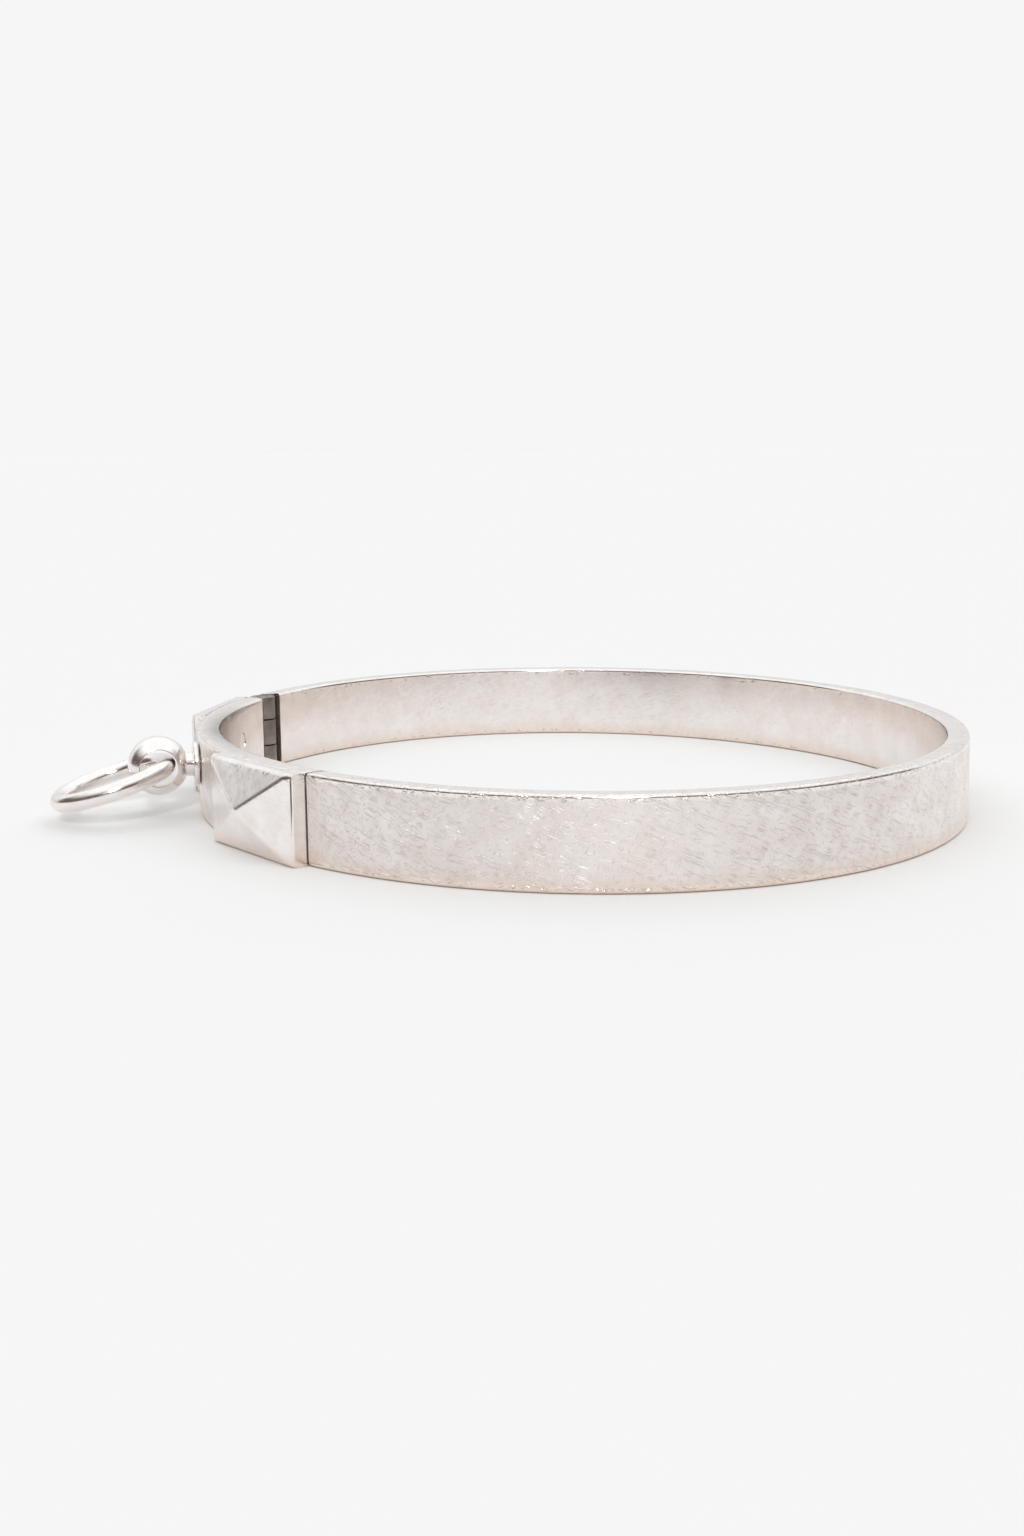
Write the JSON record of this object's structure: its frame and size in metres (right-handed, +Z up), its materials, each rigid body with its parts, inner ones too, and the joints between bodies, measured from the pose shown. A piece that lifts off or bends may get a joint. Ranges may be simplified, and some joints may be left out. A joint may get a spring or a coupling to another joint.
{
  "type": "bangle bracelet",
  "caption": "Hinged oval bangle bracelet with a flat band, a front bar carrying pyramid studs and a ball that holds a loose ring.",
  "frame": {"origin": "bottom centre of the whole object's box, with the bangle lying on its lower rim", "axes": "+Z up out of the lower rim, -Y out through the middle of the front bar, +X towards the catch end of the bar"},
  "size_m": [0.0632, 0.0624, 0.0056],
  "materials": {
    "silver_band": "worn satin silver with fine scratches",
    "silver_bright": "polished silver, worn",
    "silver_spring": "hard-drawn silver, unpolished"
  },
  "bodies": {
    "band": {"main_band": "silver_band", "hinge_knuckle_lower": "silver_band", "hinge_knuckle_upper": "silver_band", "hinge_pin": "silver_spring", "catch_tongue": "silver_spring", "tongue_rivet_front": "silver_spring", "tongue_rivet_back": "silver_spring"},
    "bar": {"front_bar": "silver_band", "pyramid_stud_catch_side": "silver_bright", "pyramid_stud_hinge_side": "silver_bright", "ball_stud": "silver_bright", "ball_collar": "silver_band", "hinge_knuckle_bar": "silver_band"},
    "ring": {"drop_ring": "silver_bright"}
  },
  "joints": [
    {"name": "bar_hinge", "type": "hinge", "parent": "band", "child": "bar", "pos_m": [-0.01868, -0.01534, 0.0028], "axis": [0, 0, -1], "range_deg": [0, 90]},
    {"name": "ring_swing", "type": "hinge", "parent": "bar", "child": "ring", "pos_m": [0, -0.02411, 0.0035], "axis": [-1, 0, 0], "range_deg": [-92, 145]}
  ]
}
